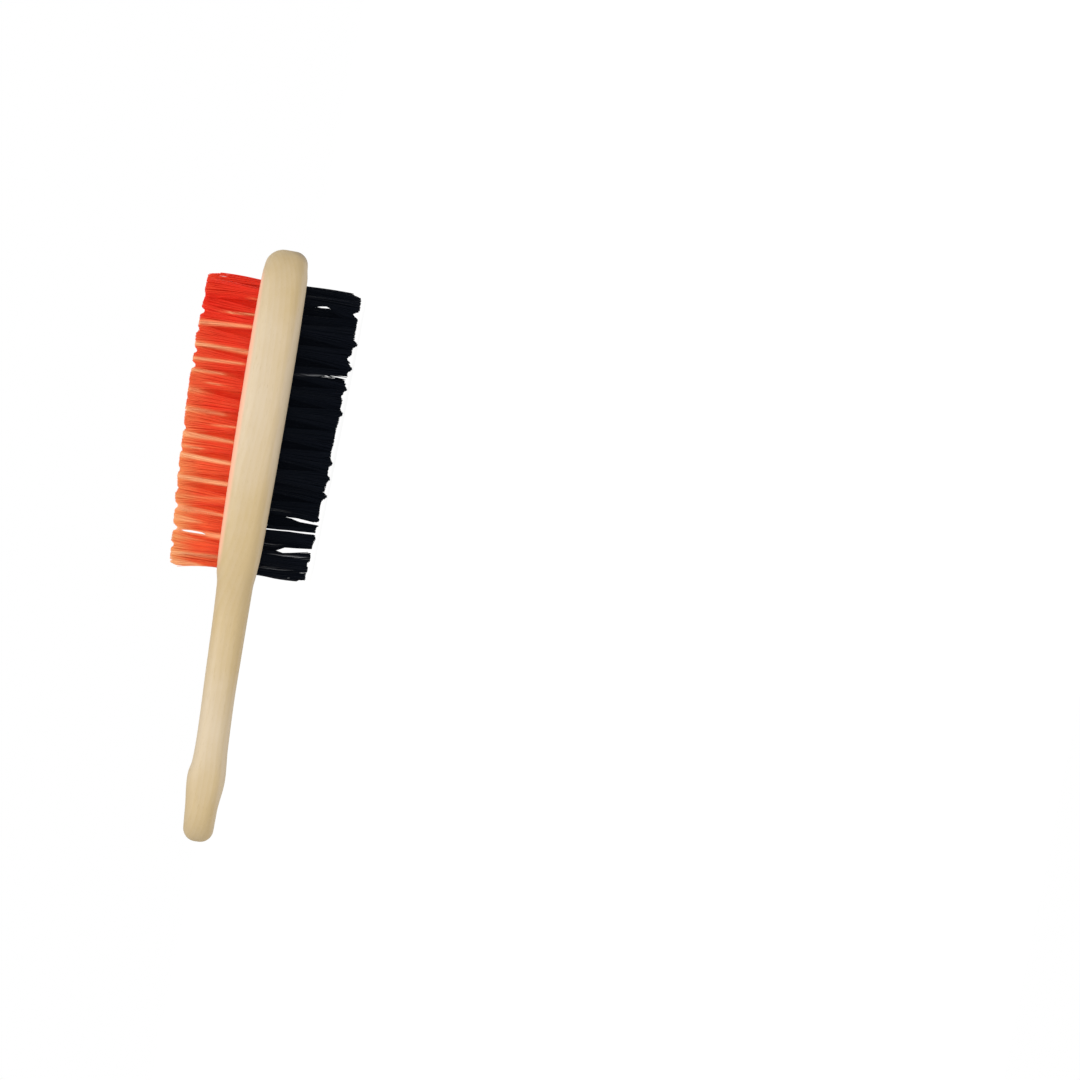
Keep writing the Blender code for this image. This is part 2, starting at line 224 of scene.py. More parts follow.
class FormTree(Tree):
    """A Geometry Nodes tree. It takes a mesh and its named inputs, and gives back one mesh."""

    def __init__(self, name, **inputs):
        super().__init__(bpy.data.node_groups.new(name, "GeometryNodeTree"))
        face = self.data.interface
        face.new_socket("Mesh", in_out="INPUT", socket_type="NodeSocketGeometry")
        face.new_socket("Mesh", in_out="OUTPUT", socket_type="NodeSocketGeometry")
        self.identifiers = {}
        for label, kind in inputs.items():
            socket = face.new_socket(label, in_out="INPUT", socket_type=SOCKETS[kind])
            self.identifiers[label] = socket.identifier
        self.given = Signal(self, self.data.nodes.new("NodeGroupInput"))

    def store(self, mesh, name, value, kind="FLOAT"):
        settings = {"data_type": kind, "domain": "POINT"}
        return self.add("GeometryNodeStoreNamedAttribute", settings, [mesh, None, name, value])

    def named(self, name, kind="FLOAT"):
        return self.add("GeometryNodeInputNamedAttribute", {"data_type": kind}, [name])

    def finish(self, mesh):
        """Ends the tree: instances are made real, and the mesh gets its material."""
        mesh = self.add("GeometryNodeSetShadeSmooth", sockets=[mesh])
        mesh = self.add("GeometryNodeRealizeInstances", sockets=[mesh])
        mesh = self.add("GeometryNodeSetMaterial", sockets={0: mesh, 2: self.given["Material"]})
        self.data.links.new(mesh.socket, self.data.nodes.new("NodeGroupOutput").inputs[0])

    def grow(self, name, start, **values):
        """Runs the tree on a mesh. Gives the result as a plain object, with no modifier left."""
        seed = new_object(name, start)
        modifier = seed.modifiers.new(self.data.name, "NODES")
        modifier.node_group = self.data
        for label, value in values.items():
            modifier[self.identifiers[label]] = value
        shown = bpy.context.evaluated_depsgraph_get()
        made = bpy.data.meshes.new_from_object(seed.evaluated_get(shown), depsgraph=shown)
        seed.modifiers.remove(modifier)
        seed.data = made
        made.name = name
        return seed


def new_object(name, mesh):
    made = bpy.data.objects.new(name, mesh)
    bpy.context.collection.objects.link(made)
    return made


# %% [markdown]
# ## The shape of the board
#
# The board is one piece of pale wood, about 19 mm thick at the head. From above its outline is a
# slim handle that swells near its end, blended into an oval head. From the side the faces of the
# head are almost flat, a little thicker towards the toe, and the handle waves gently. The sizes
# are those of the construction, in metres along the board from the end of the handle, but both
# faces flow into the neck and the nose more softly, as a sanded board's do.

# %% Sizes of the board
ABOVE, BELOW = 1, -1
HANDLE_LENGTH = 0.111
FACE_LENGTH = 0.1215
NOSE_LENGTH = 0.0124
HANDLE_END_LENGTH = 0.014
HEAD_OVERLAP = 0.021
SHOULDER_LENGTH = 0.0050
HEAD_WIDTH = 0.052
HANDLE_ROUNDING = 0.0052
HEAD_ROUNDING = 0.0060
NOSE_SOFTER, NOSE_SHARPER = 0.0014, 0.0005  # what the rounding gains above and loses below
CORNER_SHARES = (0.715, 0.781)  # how far out the oval reaches on the diagonals of its box
SHOULDER_SHARPNESS = 6  # the higher, the tighter the bend between handle and head

HEEL = HANDLE_LENGTH
TOE = HEEL + FACE_LENGTH
BOARD_LENGTH = TOE + NOSE_LENGTH
WIDEST = HEEL + 0.62 * FACE_LENGTH
THICKEST = HEEL + 0.70 * FACE_LENGTH
NOSE_START = TOE + 0.55 * NOSE_LENGTH
FLOW_LENGTH = 0.012  # over which both faces flow into the shoulder
HANDLE_SHARES = (0.12, 0.24, 0.285, 0.36, 0.44, 0.60)
GRIP, SWELL, SWELL_END, WAIST, NARROWEST, NECK = (share * HANDLE_LENGTH for share in HANDLE_SHARES)

HANDLE_WIDTHS = ((0, 0.0232), (SWELL, 0.0266), (NARROWEST, 0.0214), (HEEL, 0.0235))
# How far the upper face lies above the board's line and the lower one below it, with the places.
HEIGHTS = ((0, 0.0057), (GRIP, 0.0064), (SWELL, 0.0076), (SWELL_END, 0.0067), (WAIST, 0.0064),
           (NECK, 0.0071), (HEEL - SHOULDER_LENGTH, 0.0085), (HEEL, 0.0094),
           (HEEL + FLOW_LENGTH, 0.0101), (THICKEST, 0.0111), (TOE, 0.0108),
           (NOSE_START, 0.0102), (BOARD_LENGTH, 0.0101))
DEPTHS = ((0, 0.0065), (GRIP, 0.0066), (SWELL, 0.0078), (WAIST, 0.0069), (NECK, 0.0062),
          (HEEL - SHOULDER_LENGTH, 0.0062), (HEEL, 0.0067), (HEEL + FLOW_LENGTH, 0.0074),
          (THICKEST, 0.0081), (TOE, 0.0077), (NOSE_START, 0.0070), (BOARD_LENGTH, 0.0070))


def smooth_step(x, start, end):
    t = min(max((x - start) / (end - start), 0), 1)
    return t * t * (3 - 2 * t)


def smooth_through(sizes, x):
    """A curve through sizes, each with its place, that never swings past one of them."""
    places, values = zip(*sizes)
    x = min(max(x, places[0]), places[-1])
    rises = [(b - a) / (q - p) for a, b, p, q in zip(values, values[1:], places, places[1:])]
    slopes = [0] * len(places)
    for i in range(1, len(rises)):
        if rises[i - 1] * rises[i] > 0:
            slopes[i] = 2 * rises[i - 1] * rises[i] / (rises[i - 1] + rises[i])
    i = max(j for j in range(len(rises)) if places[j] <= x)
    run = places[i + 1] - places[i]
    t = (x - places[i]) / run
    rest = 1 - t
    ends = values[i] * (1 + 2 * t) * rest * rest + values[i + 1] * (1 + 2 * rest) * t * t
    return ends + (slopes[i] * rest - slopes[i + 1] * t) * run * t * rest


def oval(share, corner_share):
    """How wide an oval still is, as a share, at this share of the way to its end."""
    power = math.log(1 / 2) / math.log(corner_share)
    return max(1 - min(abs(share), 1) ** power, 0) ** (1 / power)


def half_width(x):
    handle = smooth_through(HANDLE_WIDTHS, x) / 2
    if x < HANDLE_END_LENGTH:
        handle *= oval(1 - x / HANDLE_END_LENGTH, math.sqrt(1 / 2))
    handle *= 1 - smooth_step(x, HEEL, WIDEST)
    if x < WIDEST:
        head = oval((WIDEST - x) / (WIDEST - HEEL + HEAD_OVERLAP), CORNER_SHARES[0])
    else:
        head = oval((x - WIDEST) / (BOARD_LENGTH - WIDEST), CORNER_SHARES[1])
    head *= HEAD_WIDTH / 2
    return (handle**SHOULDER_SHARPNESS + head**SHOULDER_SHARPNESS) ** (1 / SHOULDER_SHARPNESS)


def height(x):
    return smooth_through(HEIGHTS, x)


def depth(x):
    return smooth_through(DEPTHS, x)


def face_rise(side, x):
    return height(x) if side == ABOVE else depth(x)


print("board", BOARD_LENGTH, "m long, thickest", round(height(TOE) + depth(TOE), 4))

# %% [markdown]
# ## A plan of the board
#
# The long edges and both ends are rounded over with one radius, as a router leaves them, and the
# nose has been sanded a little softer above than below. Every point's drop below the flat face
# follows from its distance to the outline, seen from above. So Python makes only a flat plan:
# sections across the board, each running over the upper face and back under the lower one. Points
# lie closer together near the outline, where the rounding is.

# %% Draw the plan
OUTLINE_SAMPLES = 4000
SECTION_STEP = 0.0011
RIM_STEPS = 8
FLAT_STEPS = 3
RIM_SHARE = 0.94  # most of a section's half width that its rim points take

outline_x = BOARD_LENGTH * (1 - np.cos(np.linspace(0, math.pi, OUTLINE_SAMPLES))) / 2
outline_y = np.array([half_width(x) for x in outline_x])


def sections():
    """Places of the sections, at even steps along the outline."""
    run = np.concatenate(([0], np.cumsum(np.hypot(np.diff(outline_x), np.diff(outline_y)))))
    steps = np.linspace(0, run[-1], round(run[-1] / SECTION_STEP))
    return np.interp(steps, run, outline_x)


def across(x):
    """Places across a section, from the outline to the middle line, as distances from it."""
    width = half_width(x)
    rim = min(HEAD_ROUNDING, RIM_SHARE * width)
    turns = np.linspace(0, math.pi / 2, RIM_STEPS + 1)
    rounded = width - rim * (1 - np.cos(turns))
    return [*rounded, *np.linspace(width - rim, 0, FLAT_STEPS + 1)[1:]]


def rounding(x, side):
    """Radius of the rounded edge here, above or below."""
    usual = HANDLE_ROUNDING + (HEAD_ROUNDING - HANDLE_ROUNDING) * smooth_step(x, NECK, HEEL)
    sanded = NOSE_SOFTER if side == ABOVE else -NOSE_SHARPER
    return min(usual, height(x), depth(x)) + sanded * smooth_step(x, TOE, BOARD_LENGTH)


def plan_mesh():
    points, sides, rises, roundings, rims = [], [], [], [], []
    for x in sections():
        outer = across(x)
        ring = [(y, ABOVE) for y in outer] + [(-y, ABOVE) for y in reversed(outer[:-1])]
        ring += [(y, BELOW) for y, _ in reversed(ring)]
        for y, side in ring:
            points.append((x, y, 0))
            sides.append(side)
            rises.append(face_rise(side, x))
            roundings.append(rounding(x, side))
            rims.append(abs(y) == outer[0])
    around = len(ring)
    faces = [
        (i + j, i + (j + 1) % around, i + around + (j + 1) % around, i + around + j)
        for i in range(0, len(points) - around, around)
        for j in range(around)
    ]
    mesh = bpy.data.meshes.new("board_plan")
    mesh.from_pydata(points, [], faces)
    for name, values in (("side", sides), ("rise", rises), ("rounding", roundings), ("rim", rims)):
        mesh.attributes.new(name, "FLOAT", "POINT").data.foreach_set("value", values)
    return mesh


board_plan = plan_mesh()
print("plan:", len(board_plan.vertices), "points")

# %% [markdown]
# ## Where the tufts stand
#
# Each tuft is pulled into its own drilled hole. The holes lie in five lengthwise rows, and
# neighbouring rows are offset by half a step, so that the tufts fill each other's gaps. The steps
# near the heel are wider. The holes keep to the flat of the face, clear of the rounding. The black
# field reaches a little farther than the orange one at both ends.

# %% Lay out the holes
ROW_PITCH = 0.0072
COLUMN_STEP = 0.00426
REGULAR_COLUMNS, HEEL_COLUMNS = 22, 5
HOLE_CLEARANCE = 0.0097  # from a hole's middle to the outline
ROWS = (-2, -1, 0, 1, 2)
TOE_ROOM = {ABOVE: 0.0037, BELOW: 0.0030}  # from the first column to the toe
HEEL_STEP = {ABOVE: 0.0050, BELOW: 0.0052}


def holes(row, side):
    """Middles of a row's holes, from the toe to the heel. Odd rows start one column later."""
    first = TOE - TOE_ROOM[side]
    regular = first - COLUMN_STEP * np.arange(REGULAR_COLUMNS)
    columns = [*regular, *(regular[-1] - HEEL_STEP[side] * np.arange(1, HEEL_COLUMNS + 1))]
    y = row * ROW_PITCH
    return [
        (float(x), y)
        for x in columns[abs(row) % 2 :: 2]
        if np.hypot(outline_x - x, outline_y - abs(y)).min() > HOLE_CLEARANCE
    ]


for side in (ABOVE, BELOW):
    print("holes a row:", [len(holes(row, side)) for row in ROWS])

# %% [markdown]
# ## How the brush stands
#
# The construction is drawn straight and then tipped, so that the brush stands on its black tips.
# The pieces here are made straight as well, and this matrix puts them in place. The angle comes
# from the black bristles, which are longer at the toe than at the heel.

# %% Find the brush's stand
BLACK_HEEL_TIPS, BLACK_TOE_TIPS = 0.0293, 0.03305  # below the board's line

tip_slope = math.atan((BLACK_TOE_TIPS - BLACK_HEEL_TIPS) / FACE_LENGTH)
tipping = Matrix.Rotation(-tip_slope, 4, "Y")
foot = tipping @ Vector((HEEL, 0, -BLACK_HEEL_TIPS))
ends = [(tipping @ Vector((x, 0, 0))).x for x in (0, BOARD_LENGTH)]
wood_low, wood_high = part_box("wood_body")
stand = Matrix.Translation(((wood_low.x + wood_high.x - sum(ends)) / 2, 0, -foot.z)) @ tipping
print("tipped by", round(math.degrees(tip_slope), 2), "degrees")

# %% [markdown]
# ## The wood
#
# The board is sawn from a pale, close-grained wood such as beech, and is left without a varnish.
# Its year rings are nearly flat cylinders round a pith that lies outside the board. The material
# makes them as a field in space, so that they run as lines along the faces and come out as arcs
# on both ends of the board, as in real wood. Fine dark pores run along the grain on top of them,
# and all the noise that breaks up the colour is drawn out along it.
#
# The wood has a painted sheen: it is painted paler in the middle of the handle and of the head.
# Down its lower side it is painted darker and tanner, as painted shade, and its lowest edge is
# painted lighter again, as painted light. The rim of the nose is greyer and darker, most towards
# its lower corner. Beside the orange bristles the wood is painted with a little of their orange,
# as painted reflected light. The nodes that shape the board have kept each point's place on it,
# along, across and up from its line, so the grain follows the board however it stands.

# %% Helpers for materials
class LookTree(Tree):
    """The node tree of a material, with one Principled shader."""

    def __init__(self, name):
        self.material = bpy.data.materials.new(name)
        self.material.use_nodes = True
        super().__init__(self.material.node_tree)
        self.data.nodes.clear()
        self.shader = self.add("ShaderNodeBsdfPrincipled")
        self.add("ShaderNodeOutputMaterial", sockets=[self.shader])

    def attribute(self, name):
        return self.add("ShaderNodeAttribute", {"attribute_name": name}, output="Fac")

    def noise(self, vector, scale, detail=2.0, roughness=0.5):
        sockets = {"Vector": vector, "Scale": scale, "Detail": detail, "Roughness": roughness}
        return self.add("ShaderNodeTexNoise", {"noise_dimensions": "3D"}, sockets)

    def bump(self, relief, strength, distance):
        sockets = {"Strength": strength, "Distance": distance, "Height": relief}
        return self.add("ShaderNodeBump", sockets=sockets)

    def finish(self, **values):
        """Sets the shader's sockets, by names with _ for a space, and gives the material."""
        for name, value in values.items():
            socket = self.shader.node.inputs[name.replace("_", " ")]
            if isinstance(value, Signal):
                self.data.links.new(value.socket, socket)
            else:
                socket.default_value = value
        return self.material


# %% Make the wood
RING_STEP = 0.0019
RING_SWAY = (0.006, 0.008)  # how far the rings wander, across and down
PITH = (0.034, -0.104)  # across the board and down from its line
# Painted sheen: the wood is painted paler around these places on the handle and the head.
PAINTED_SHEEN_HANDLE, PAINTED_SHEEN_HEAD = (0.045, 0.040), (0.188, 0.060)  # each with its middle and reach
# Painted shade makes the lower side darker and tanner, and painted light makes the lowest edge
# lighter again.
PAINTED_SHADE_BELOW, PAINTED_LIGHT_EDGE = (0.005, -0.006), (-0.0042, -0.0068)  # of the darker band along the side
GREY_RIM = (BOARD_LENGTH - 0.0026, BOARD_LENGTH + 0.0024)
RIM_SLANT = 0.6  # how much farther the grey reaches below than above
# Painted reflected light: the orange of the bristles on the wood just below the upper face.
BOUNCE_DEPTH = 0.0016  # how far down from the upper face the bristles colour the wood
BOUNCE_STARTS, BOUNCE_ENDS = (HEEL - 0.002, HEEL + 0.008), (TOE + 0.004, TOE - 0.004)
PALE_WOOD = (0.590, 0.480, 0.330, 1)
TAN_WOOD = (0.520, 0.390, 0.205, 1)
PORE_WOOD = (0.330, 0.210, 0.100, 1)
GREY_WOOD = (0.260, 0.205, 0.150, 1)
# Painted reflected light of the orange bristles, mixed into the wood beside them.
BOUNCE_LIT_WOOD = (0.900, 0.500, 0.340, 1)


def near(tree, value, middle, reach):
    """1 at the middle, down to 0 at this reach from it."""
    return tree.ramp((value - middle).of("ABSOLUTE"), reach, 0)


def wood_look():
    tree = LookTree("pale wood")
    place = tree.add("ShaderNodeAttribute", {"attribute_name": "place"}, output="Vector")
    x, y, z = tree.split(place)

    sway = tree.noise(tree.xyz(x * 9, y * 30, z * 30), 1.0, 1.0)
    aside = y - PITH[0] + (sway - 0.5) * RING_SWAY[0]
    sway = tree.noise(tree.xyz(x * 14, y * 22, z * 22 + 7), 1.0, 1.0)
    down = z - PITH[1] + (sway - 0.5) * RING_SWAY[1]
    ring = (aside * aside + down * down).of("SQRT") / RING_STEP
    late = tree.ramp(ring.of("FRACT"), 0.15, 0.92) * tree.ramp(ring.of("FRACT"), 1.0, 0.93)
    fibre = tree.noise(tree.xyz(x * 45, y * 1900, z * 1900), 1.0, 3.0, 0.65)
    pore = tree.ramp(tree.noise(tree.xyz(x * 260, y * 3600, z * 3600), 1.0, 1.0), 0.64, 0.74)
    cloud = tree.noise(tree.xyz(x * 28, y * 70, z * 70 + 3), 1.0, 2.0)
    blotch = tree.noise(tree.xyz(x * 130, y * 260, z * 260), 1.0, 2.0)

    # Painted sheen, paler wood in the middle of the handle and of the head.
    painted_sheen = near(tree, x, *PAINTED_SHEEN_HANDLE) + near(tree, x, *PAINTED_SHEEN_HEAD)
    shade = late * 0.14 + (fibre - 0.5) * 0.22 + (cloud - 0.5) * 0.95 + (blotch - 0.5) * 0.45
    shade = shade + 0.66 - painted_sheen * 0.7
    # Painted shade down the lower side, then painted light along the lowest edge.
    shade = shade + tree.ramp(z, *PAINTED_SHADE_BELOW) * 0.42 - tree.ramp(z, *PAINTED_LIGHT_EDGE) * 0.8
    colour = tree.mix(shade.most(0).least(1), PALE_WOOD, TAN_WOOD)
    colour = tree.mix(pore * 0.2, colour, PORE_WOOD)
    # Painted reflected light: orange from the bristles, in a thin band below the upper face.
    top = (x - HEEL) * ((height(TOE) - height(HEEL)) / FACE_LENGTH) + height(HEEL)
    glow = tree.ramp(top - z, BOUNCE_DEPTH, 0) * tree.ramp(x, *BOUNCE_STARTS) * tree.ramp(x, *BOUNCE_ENDS)
    colour = tree.mix(glow * 0.8, colour, BOUNCE_LIT_WOOD)
    # Greyer and darker towards the lower corner of the nose.
    grey = tree.ramp(x - z * RIM_SLANT, *GREY_RIM) * (blotch * 0.7 + 0.4)
    colour = tree.mix(grey, colour, GREY_WOOD)
    relief = fibre * 0.6 - pore * 0.8 - late * 0.15
    return tree.finish(
        Base_Color=colour,
        Roughness=0.54 + (fibre - 0.5) * 0.22 + pore * 0.12,
        Normal=tree.bump(relief, 0.3, 0.0001),
        IOR=1.45,
        Specular_IOR_Level=0.35,
    )


wood = wood_look()
print("material", wood.name, "with", len(wood.node_tree.nodes), "nodes")

# %% [markdown]
# ## Shaping and drilling the board
#
# The shape follows a rule, so nodes make it. The outline's edges are taken out of the plan. Every
# point is lowered by a quarter circle of its distance to them. Then one drill is set on each
# hole's place, and all of them are cut out of the board together.

# %% Make the board
HOLE_RADIUS = 0.0026
HOLE_DEPTH = 0.0040
HOLE_SIDES = 24
MERGE_DISTANCE = 0.000001
SHARP_ANGLE = math.radians(35)


def board_tree():
    tree = FormTree(
        "round over and drill",
        Holes=bpy.types.Object, Radius=float, Depth=float, Material=bpy.types.Material,
    )
    given = tree.given
    mesh = given["Mesh"]
    on_rim = tree.named("rim") > 0.5
    rim = tree.add("GeometryNodeSeparateGeometry", {"domain": "POINT"}, [mesh, on_rim])
    away = tree.add("GeometryNodeProximity", {"target_element": "EDGES"}, [rim], output="Distance")
    radius = tree.named("rounding")
    inward = radius - away.least(radius)
    drop = radius - (radius * radius - inward * inward).most(0).of("SQRT")
    x, y, _ = tree.split(tree.add("GeometryNodeInputPosition"))
    spot = tree.xyz(x, y, tree.named("side") * (tree.named("rise") - drop))
    mesh = tree.add("GeometryNodeSetPosition", sockets={0: mesh, 2: spot})
    mesh = tree.add("GeometryNodeMergeByDistance", sockets={0: mesh, 2: MERGE_DISTANCE})

    # The middle of a drill is on the face, so only half of its length is in the wood.
    sizes = {"Vertices": HOLE_SIDES, "Radius": given["Radius"], "Depth": given["Depth"] * 2}
    drill = tree.add("GeometryNodeMeshCylinder", sockets=sizes)
    place = tree.add("GeometryNodeObjectInfo", sockets=[given["Holes"]], output="Geometry")
    drills = tree.add("GeometryNodeInstanceOnPoints", sockets={0: place, 2: drill})
    drills = tree.add("GeometryNodeRealizeInstances", sockets=[drills])
    settings = {"operation": "DIFFERENCE", "solver": "EXACT"}
    mesh = tree.add("GeometryNodeMeshBoolean", settings, [mesh, drills])
    place = tree.add("GeometryNodeInputPosition")
    tree.finish(tree.store(mesh, "place", place, "FLOAT_VECTOR"))
    return tree


def points_mesh(name, points):
    mesh = bpy.data.meshes.new(name)
    mesh.from_pydata(points, [], [])
    return mesh


hole_places = [
    (x, y, side * face_rise(side, x))
    for side in (ABOVE, BELOW) for row in ROWS for x, y in holes(row, side)
]
hole_marks = new_object("hole_marks", points_mesh("hole_marks", hole_places))
board = board_tree().grow(
    "wooden_board", board_plan,
    Holes=hole_marks, Radius=HOLE_RADIUS, Depth=HOLE_DEPTH, Material=wood,
)
bpy.data.objects.remove(hole_marks)
board.data.set_sharp_from_angle(angle=SHARP_ANGLE)
board.data.transform(stand)
for name in ("side", "rise", "rounding", "rim"):
    board.data.attributes.remove(board.data.attributes[name])
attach(board, "root")
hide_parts("wood_body")
print("board:", len(board.data.polygons), "faces,", len(hole_places), "holes")

# %% [markdown]
# ## Marks of use
#
# In a used brush the tufts part from each other in places, which shows as clear slits through the
# whole field. A bristle near a slit is pushed aside, to the side that its root is on, and a few
# stray ones stay. Some bundles carry pale streaks, and the tips have worn unevenly, both in the
# same places in all rows. On the orange bristles the pale streaks are painted highlights, of light
# that passes through the bundles and shines off them; on the black ones they are grey bristles.
# Slits, pale streaks and worn places are found by where the line of sight through a bristle crosses
# the brush's middle plane, so that those of all five rows lie one behind the other, as they do in
# the photograph.

# %% Helpers for the marks of use
OPENING = 0.15  # share of a bristle's length over which a slit opens and closes
FADING = 0.3  # share of a bristle's length over which a streak fades at its ends
MARK_REACH = 0.0018  # half the length of a worn place
WEAR_START, WEAR_LENGTH = HEEL - 0.005, FACE_LENGTH + 0.010
WEAR_UNIT = 0.005  # the curve of the wear gives shares of this

# Wear is what the tips have usually lost, and the places with what each has lost.
Wear = namedtuple("Wear", "usual marks")
# Places are on the board at the roots. The slant is how much farther on the tips are. Start and
# end are shares of the bristles' length. Strays are the share of bristles that stay in a slit, and
# a streak's reaches are half its width at the roots and at the tips.
Parting = namedtuple("Parting", "place slant start end width strays")
Streak = namedtuple("Streak", "place slant root_reach tip_reach start end strength")

eye_on_board = stand.inverted() @ eye


def seen_at(x, y):
    """Where the line of sight through a point crosses the middle plane of the brush."""
    return (x - eye_on_board.x) * -eye_on_board.y / (y - eye_on_board.y) + eye_on_board.x


def between(tree, along, start, end, fade):
    """1 from start to end along a bristle, and 0 outside, with soft ends."""
    return tree.ramp(along, start, start + fade) * tree.ramp(along, end, end - fade)


def push_aside(tree, seen, root_seen, along, chance, parting):
    """How far a bristle's point moves to clear one slit through the field."""
    off = seen - parting.place - along * parting.slant
    side = (root_seen - parting.place).of("SIGN")
    half = (chance > parting.strays) * (parting.width / 2)
    clear = (off * side + (off * off + half * half * 4).of("SQRT")) / 2
    open_here = between(tree, along, parting.start, parting.end, OPENING)
    return open_here * (clear * side - off) * (half > 0)


def streak_at(tree, seen, along, streak):
    """How pale one streak makes a bristle's point."""
    off = (seen - streak.place - along * streak.slant).of("ABSOLUTE")
    reach = along * (streak.tip_reach - streak.root_reach) + streak.root_reach
    here = between(tree, along, streak.start, streak.end, FADING)
    return tree.ramp(off, reach, 0, 0, streak.strength) * here


def trim_points(wear):
    """Points of a curve of how much is worn off the tips. It starts and ends at the usual wear."""
    points = [(0, wear.usual / WEAR_UNIT), (1, wear.usual / WEAR_UNIT)]
    for place, worn in wear.marks:
        for reach, value in ((-MARK_REACH, wear.usual), (0, worn), (MARK_REACH, wear.usual)):
            points.append(((place + reach - WEAR_START) / WEAR_LENGTH, value / WEAR_UNIT))
    return sorted(points)


print("the eye on the board's own axes:", [round(v, 3) for v in eye_on_board])

# %% [markdown]
# ## How a tuft is made
#
# A tuft is a bunch of straight plastic bristles, folded double and stapled into its hole. So all
# of them leave the wood in one round bunch and lean outwards a little, until neighbouring tufts
# touch at the tips. At both ends of the head the tufts lean inwards, so the field has steep ends.
#
# Nodes grow a row of tufts from one point for each hole. The point is copied for every bristle,
# and the copies are laid out in a sunflower pattern, which fills a round hole evenly. A straight
# line is put on each copy, bent into the bristle's own path, and swept with a round section.

# %% Grow a row of tufts
BRISTLES = 130
THICKNESS = 0.00036
ROOT_DEPTH = 0.0015  # of a bristle's lower end in the hole
BRISTLE_POINTS = 7
BRISTLE_SIDES = 5
BUNCH_RADIUS = HOLE_RADIUS - THICKNESS / 2
GOLDEN_ANGLE = math.pi * (3 - math.sqrt(5))
FLARE = 1.85  # how many times wider a tuft is at its tips
FLARE_POWER = 1.4  # the higher, the closer to the tips it widens
JITTER = 0.00055  # how far a tip may stray
BEND = 0.00035  # how far the middle of a bristle may bow out
TAPER = 0.25  # share of its thickness that a bristle loses
DOME = 0.0005  # how much shorter a tuft's outermost bristles are
LEAN = 0.0003  # how far a whole tuft may lean aside
END_ROOM = 0.013  # from the ends of the face, where tufts begin to lean inwards
END_TUFTS = 0.004  # and where they lean most
SEED = 7

# The tips of a field lie on a line from the heel to the toe, a crown lifts its middle, and the
# shortest bristles fall short of it by the unevenness.
Tips = namedtuple("Tips", "at_heel at_toe crown unevenness")


def bristle_lines(tree):
    """A straight line for each bristle, which keeps its place in its tuft and its own luck."""
    given = tree.given
    points = tree.add("GeometryNodeMeshToPoints", sockets=[given["Mesh"]])
    copies = [points, None, given["Bristles"]]
    points = tree.add("GeometryNodeDuplicateElements", {"domain": "POINT"}, copies)
    number = points["Duplicate Index"]
    out = ((number + 0.5) / given["Bristles"]).of("SQRT") * BUNCH_RADIUS
    angle = number * GOLDEN_ANGLE + tree.named("turn")
    offset = tree.xyz(out * angle.of("COSINE"), out * angle.of("SINE"), out)
    mouth = tree.add("GeometryNodeInputPosition")
    points = tree.store(points, "mouth", mouth, "FLOAT_VECTOR")
    points = tree.store(points, "offset", offset, "FLOAT_VECTOR")
    for label, shift in (("luck", 0), ("jitter", 1)):
        sockets = {0: (0, 0, 0), 1: (1, 1, 1), 8: given["Seed"] + shift}
        luck = tree.add("FunctionNodeRandomValue", {"data_type": "FLOAT_VECTOR"}, sockets)
        points = tree.store(points, label, luck, "FLOAT_VECTOR")

    line = tree.add("GeometryNodeCurvePrimitiveLine", sockets={0: (0, 0, 0), 1: (0, 0, 1)})
    line = tree.add("GeometryNodeResampleCurve", sockets={0: line, 2: BRISTLE_POINTS})
    curves = tree.add("GeometryNodeInstanceOnPoints", sockets={0: points, 2: line})
    curves = tree.add("GeometryNodeRealizeInstances", sockets=[curves])
    return tree.store(curves, "along", tree.add("GeometryNodeSplineParameter", output="Factor"))


